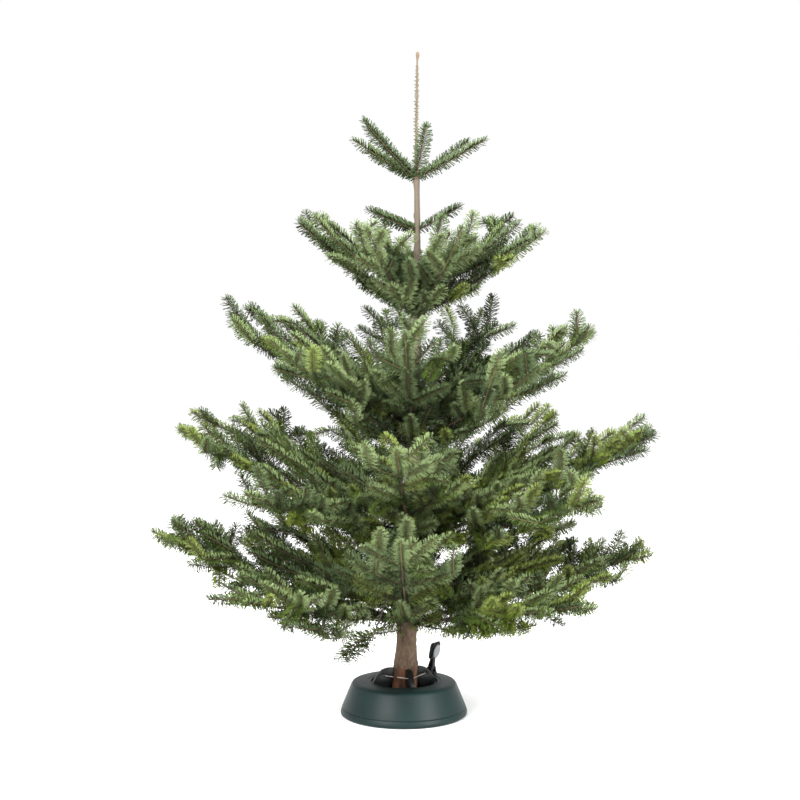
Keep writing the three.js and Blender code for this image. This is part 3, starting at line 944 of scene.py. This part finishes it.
def rounded_off(item, bevel, segments=2):
    """Rounds a piece's sharp edges, with its flat faces made whole first."""
    weld = item.modifiers.new("weld", "WELD")
    weld.merge_threshold = 0.00002
    flat = item.modifiers.new("flat", "DECIMATE")
    flat.decimate_type = "DISSOLVE"
    flat.angle_limit = math.radians(2)
    edge = item.modifiers.new("edge", "BEVEL")
    edge.width = bevel
    edge.segments = segments
    edge.limit_method = "ANGLE"
    edge.angle_limit = math.radians(SHARP_ANGLE)
    whole = item.modifiers.new("whole", "TRIANGULATE")
    whole.min_vertices = 5
    graph = bpy.context.evaluated_depsgraph_get()
    mesh = bpy.data.meshes.new_from_object(item.evaluated_get(graph))
    item.modifiers.clear()
    item.data = mesh
    return smooth(item, 40)


def slab(outline, thickness, azimuth, origin, offset):
    """The points and faces of an upright plate: an outline of (out, up) points turned to an azimuth."""
    turn = math.radians(azimuth)
    out = Vector((math.cos(turn), math.sin(turn), 0))
    across = UP.cross(out)
    count = len(outline)
    points = [
        origin + out * x + UP * y + across * (offset + side * thickness / 2)
        for side in (-1, 1)
        for x, y in outline
    ]
    sides = [(i, (i + 1) % count, count + (i + 1) % count, count + i) for i in range(count)]
    return points, [tuple(range(count)), tuple(range(count, 2 * count)), *sides]


def build_slabs(name, slabs, material, bevel):
    """Several plates as one piece, with their edges rounded."""
    shape = bmesh.new()
    for points, faces in slabs:
        made = [shape.verts.new(p) for p in points]
        for face in faces:
            shape.faces.new([made[i] for i in face])
    bmesh.ops.recalc_face_normals(shape, faces=shape.faces)
    mesh = bpy.data.meshes.new(name)
    shape.to_mesh(mesh)
    shape.free()
    mesh.materials.append(material)
    item = bpy.data.objects.new(name, mesh)
    bpy.context.collection.objects.link(item)
    return rounded_off(item, bevel)


def build_bracket(material):
    """The pedal's bracket on the shell's top: a foot plate, two ears and the pin."""
    pivot = Vector(PEDAL_PIVOT)
    bottom = 0.1012 - pivot.z
    ear_top = [(0.009, 0.004), (0.004, 0.008), (-0.004, 0.008), (-0.009, 0.004)]
    ear = [(-0.011, bottom), (0.011, bottom), *ear_top]
    foot = [(-0.013, bottom), (0.013, bottom), (0.013, bottom + 0.004), (-0.013, bottom + 0.004)]
    turn = np.linspace(0, 2 * np.pi, 16, endpoint=False)
    pin = [(0.0037 * math.cos(a), 0.0037 * math.sin(a)) for a in turn]
    pieces = [slab(ear, 0.004, PEDAL_AZIMUTH, pivot, side * 0.0105) for side in (-1, 1)]
    pieces.append(slab(foot, 0.025, PEDAL_AZIMUTH, pivot, 0))
    pieces.append(slab(pin, 0.0252, PEDAL_AZIMUTH, pivot, 0))
    return build_slabs("pedal_bracket", pieces, material, 0.0008)


def build_lugs(material):
    """The pairs of lugs on the tank's wall that the claws hang between."""
    lug = [(0.084, 0.052), (0.092, 0.052), (0.0945, 0.0955), (0.084, 0.0955)]
    pieces = []
    for i in range(CLAW_COUNT):
        azimuth = FIRST_CLAW + i * 360 / CLAW_COUNT
        pieces += [slab(lug, 0.004, azimuth, Vector(), side * 0.0105) for side in (-1, 1)]
    return build_slabs("tank_lugs", pieces, material, 0.0006)


def build_wire(material):
    """The steel cable through the claws: two strands twisted along the frame's loop, as one closed run."""
    co = vertices("wire_loop")
    height = float(co[:, 2].mean())
    azimuth = np.arctan2(co[:, 1], co[:, 0])
    radius = np.hypot(co[:, 0], co[:, 1])
    order = np.argsort(azimuth)
    steps = 300
    turn = np.linspace(-np.pi, np.pi, steps, endpoint=False)
    window = 0.07
    middle = []
    for angle in turn:
        near = np.abs(np.remainder(azimuth[order] - angle + np.pi, 2 * np.pi) - np.pi) < window
        middle.append(float(radius[order][near].mean()))
    middle = np.array(middle)
    middle = np.convolve(np.concatenate([middle[-4:], middle, middle[:4]]), np.ones(9) / 9, "valid")
    parts = []
    for strand in range(3):
        phase = turn * 42 + strand * 2 * np.pi / 3
        reach = middle + 0.0007 * np.cos(phase)
        path = np.stack([reach * np.cos(turn), reach * np.sin(turn), height + 0.0007 * np.sin(phase)], 1)
        parts.append((*closed_tube(path, 0.0009, 6), 0))
    points, faces, slots = joined(parts)
    return smooth(mesh_object("wire_cable", points, faces, slots, [material]), 60)


def closed_tube(path, radius, sides):
    """Points and quads of a ring-shaped tube about a closed path that lies nearly level."""
    count = len(path)
    tangent = unit(np.roll(path, -1, axis=0) - np.roll(path, 1, axis=0))
    side = unit(np.cross(tangent, [[0.0, 0, 1]]))
    upward = np.cross(side, tangent)
    turn = np.arange(sides) * 2 * np.pi / sides
    ring = np.cos(turn)[None, :, None] * side[:, None] + np.sin(turn)[None, :, None] * upward[:, None]
    points = (path[:, None] + radius * ring).reshape(-1, 3)
    faces = []
    i = np.arange(sides)
    following = (i + 1) % sides
    for k in range(count):
        a, b = k * sides, ((k + 1) % count) * sides
        faces.append(np.stack([a + i, b + i, b + following, a + following], 1))
    return points, np.concatenate(faces)


# ---------------------------------------------------------------- stage


def build_stage():
    half = 30
    corners = [(-half, -half, 0), (half, -half, 0), (half, half, 0), (-half, half, 0)]
    floor = mesh_object("floor", corners, [[0, 1, 2, 3]])
    paint = Shader("floor_white", (0.92, 0.92, 0.92, 1), 0.7, specular=0.1)
    paint.bsdf.inputs["Emission Color"].default_value = (1, 1, 1, 1)
    paint.bsdf.inputs["Emission Strength"].default_value = 0.12
    grain = paint.noise(60, 2)
    paint.rough(grain, 0.65, 0.75)
    floor.data.materials.append(paint.material)
    world = bpy.data.worlds.new("studio")
    world.use_nodes = True
    world.node_tree.nodes["Background"].inputs["Color"].default_value = (1, 1, 1, 1)
    world.node_tree.nodes["Background"].inputs["Strength"].default_value = 1.0
    bpy.context.scene.world = world
    for name, at, size, power in (
        ("key", (-2.6, -3.5, 3.1), 2.0, 430),
        ("fill", (3.4, -3.1, 1.8), 2.4, 275),
        ("top", (0.3, 0.4, 4.4), 2.4, 310),
    ):
        data = bpy.data.lights.new(name, "AREA")
        data.size = size
        data.energy = power
        lamp = bpy.data.objects.new(name, data)
        lamp.location = at
        lamp.rotation_euler = (Vector((0, 0, 0.9)) - Vector(at)).to_track_quat("-Z", "Y").to_euler()
        bpy.context.collection.objects.link(lamp)
    bpy.context.scene.view_settings.view_transform = "Standard"


def build_camera():
    data = bpy.data.cameras.new("camera")
    data.sensor_width = 36
    data.lens = 69.4
    camera = bpy.data.objects.new("camera", data)
    camera.location = (0, -4.6, 1.19)
    aim = Vector((-0.012, 0, 0.947))
    camera.rotation_euler = (aim - camera.location).to_track_quat("-Z", "Y").to_euler()
    bpy.context.collection.objects.link(camera)
    bpy.context.scene.camera = camera


# ---------------------------------------------------------------- assembly

QUARTERS = ("right", "back", "left", "front")


def spray_colour(pick, shoot, envelope_side, tier):
    """The colour of a spray: yellower in the low tiers and to the right, partly fresh growth and partly a
    painted highlight where the light falls on the lower right; darker on old wood, with painted shade for
    the sprays inside the crown.
    """
    roll = pick.random()
    # Old wood lies inside the crown: most of its sprays get the shaded colour, which is painted shade.
    if shoot.age >= 2:
        return SHADED if roll < 0.6 else DEEP
    # More yellowish sprays in the low tiers and to the right: a painted highlight of the light on the lower
    # right, as well as fresh growth.
    yellow_and_painted_highlight_share = 0.2 + 0.2 * envelope_side if tier in ("bottom", "lower") else 0.04 + 0.06 * envelope_side
    if roll < yellow_and_painted_highlight_share:
        return YELLOWISH
    if roll < 0.42 + yellow_and_painted_highlight_share:
        return FRESH if shoot.age == 0 else MID
    return MID if roll < 0.8 else DEEP


def add_piece(item, body, slot_name, *nodes):
    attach(item, body)
    if nodes:
        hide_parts(*nodes)


def spray_colours(node, tier, side):
    """A function that deals each spray of a mass its colour, anew for each age of wood in it."""
    pick = random.Random(node)
    dealt = {}

    def colour_of(shoot):
        key = shoot.spray, shoot.age
        if key not in dealt:
            dealt[key] = spray_colour(pick, shoot, side, tier)
        return dealt[key]

    return colour_of


def single_colour(shoot):
    return (DEEP, MID, DEEP)[shoot.spray % 3]


class Crown:
    """The crown's wood, its needles and the masses they stand for, gathered under the names of its parts."""

    def __init__(self):
        self.random = np.random.default_rng(23)
        self.wood = {}
        self.needles = {}
        self.masses = {}

    def add(self, part, node, shoots, colour_of, density=NEEDLES_PER_METRE):
        self.wood.setdefault(part, []).extend(twig_parts(shoots))
        self.masses.setdefault(part, []).append(node)
        for shoot in shoots:
            colour = colour_of(shoot)
            corners = needle_corners(shoot, self.random, density)
            if len(corners):
                self.needles.setdefault(part, []).append((corners, colour))

    def build(self):
        paints = needle_materials()
        for part, batches in self.needles.items():
            item = needle_mesh(f"needles_{part}", batches, paints)
            add_piece(item, "tree", "needles", *self.masses[part])
        woods = twig_materials()
        for part, tubes in self.wood.items():
            points, faces, slots = joined(tubes)
            item = mesh_object(f"twigs_{part}", points, faces, slots, woods)
            add_piece(smooth(item, 80), "tree", "bark")


def add_tiers(crown, stem):
    """Grows every mass of the four tiers, and gives the points of the bottom tier's older wood."""
    near = []
    for t, tier in enumerate(("upper", "middle", "lower", "bottom")):
        nodes = sorted(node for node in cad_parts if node.startswith(f"foliage_{tier}_"))
        for k, node in enumerate(nodes):
            shoots = grow_mass(node, stem, 1000 * t + k)
            out = Envelope(node, stem).out
            quarter = round(math.atan2(out.y, out.x) / (math.pi / 2)) % 4
            crown.add(f"{tier}_{QUARTERS[quarter]}", node, shoots, spray_colours(node, tier, max(0, out.x)))
            if tier == "bottom":
                near += [p for s in shoots if s.age for p in s.points]
    return near


def build_crown(stem):
    """All of the crown's wood and needles, joined by tier and quarter, with the single shoots apart."""
    crown = Crown()
    near = add_tiers(crown, stem)
    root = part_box("foliage_hanging")[1]
    anchor = min(near, key=lambda p: (p - root).length)
    dense = NEEDLES_PER_METRE * 1.05
    top = grow_single_shoots("foliage_top", stem, TOP_SHOOTS_AT, 5)
    crown.add("top", "foliage_top", top, single_colour, dense)
    between = grow_single_shoots("foliage_between", stem, BETWEEN_SHOOTS_AT, 6)
    crown.add("top", "foliage_between", between, single_colour, dense)
    crown.add("top", "foliage_hanging", grow_hanging(anchor), single_colour, NEEDLES_PER_METRE * 0.65)
    line = [stem.point(z) for z in np.linspace(*LEADER_NEEDLES, 6)]
    leader = Shoot(line, (0.003, 0.0026), 0, Vector((0, -1, 0)), 1)
    crown.needles["top"].append((needle_corners(leader, crown.random, 420, 0.009), FRESH))
    crown.build()


def build_tree():
    stem = Stem()
    build_crown(stem)
    bark = bark_material()
    trunk = build_stem(stem, bark)
    boughs = [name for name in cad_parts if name.startswith("bough_")]
    add_piece(trunk, "tree", "bark", "trunk", *boughs)
    top = bud(stem.point(stem.z[-1] - 0.009), 0.0052, twig_materials()[1])
    add_piece(top, "tree", "bark")


def build_stand():
    green = plastic("green_plastic_skin", (9, 29, 28), 0.45)
    black = plastic("black_plastic_skin", (14, 15, 16), 0.4)
    grey = plastic("pad_skin", (128, 130, 132), 0.6)
    add_piece(build_shell(green), "tree", "green_plastic", "stand_shell")
    add_piece(build_tank(black), "tree", "black_plastic", "stand_tank")
    add_piece(build_lugs(black), "tree", "black_plastic")
    add_piece(build_bracket(black), "tree", "black_plastic")
    for i in range(1, CLAW_COUNT + 1):
        add_piece(dressed(f"claw_{i}_fin", f"claw_{i}", black), "tree", "black_plastic", f"claw_{i}")
    add_piece(build_wire(steel()), "tree", "wire", "wire_loop")
    add_piece(dressed("pedal_lever", "pedal_arm", black, 0.0045, 4), "pedal", "black_plastic", "pedal_arm")
    add_piece(dressed("pedal_grip", "pedal_pad", grey, 0.001), "pedal", "pad", "pedal_pad")


build_stage()
build_camera()
build_tree()
build_stand()
